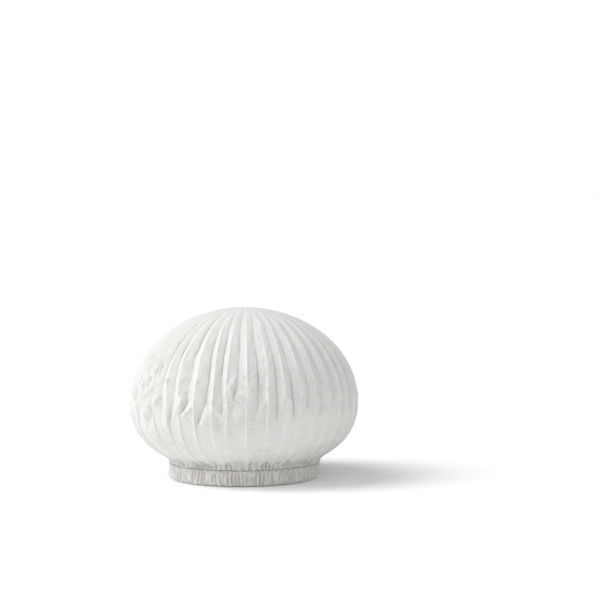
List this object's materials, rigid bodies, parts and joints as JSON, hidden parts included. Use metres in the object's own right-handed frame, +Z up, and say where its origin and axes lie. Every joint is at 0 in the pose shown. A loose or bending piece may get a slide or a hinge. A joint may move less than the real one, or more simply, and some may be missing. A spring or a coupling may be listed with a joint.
{
  "type": "shower cap",
  "caption": "Pleated white shower cap: a puffed cloth crown gathered into a cased elastic band that grips round the head.",
  "frame": {"origin": "on the floor, in the middle of the band's flat lower edge", "axes": "+Z up through the crown's apex, -Y towards the viewer of the picture, +X to the picture's right"},
  "size_m": [0.216, 0.216, 0.1615],
  "materials": {
    "crown_cloth": "matt white nonwoven cloth, thin and crinkled",
    "casing_cloth": "matt white nonwoven cloth, tightly gathered",
    "elastic": "flat woven elastic, off-white",
    "thread": "fine white sewing thread"
  },
  "bodies": {
    "root": {"crown_sheet": "crown_cloth", "casing_strip": "casing_cloth", "elastic_band": "elastic", "seam_needle_thread": "thread", "seam_bobbin_thread": "thread", "elastic_tack_needle_thread": "thread", "elastic_tack_bobbin_thread": "thread", "closing_tack_needle_thread": "thread", "closing_tack_bobbin_thread": "thread"}
  },
  "joints": []
}
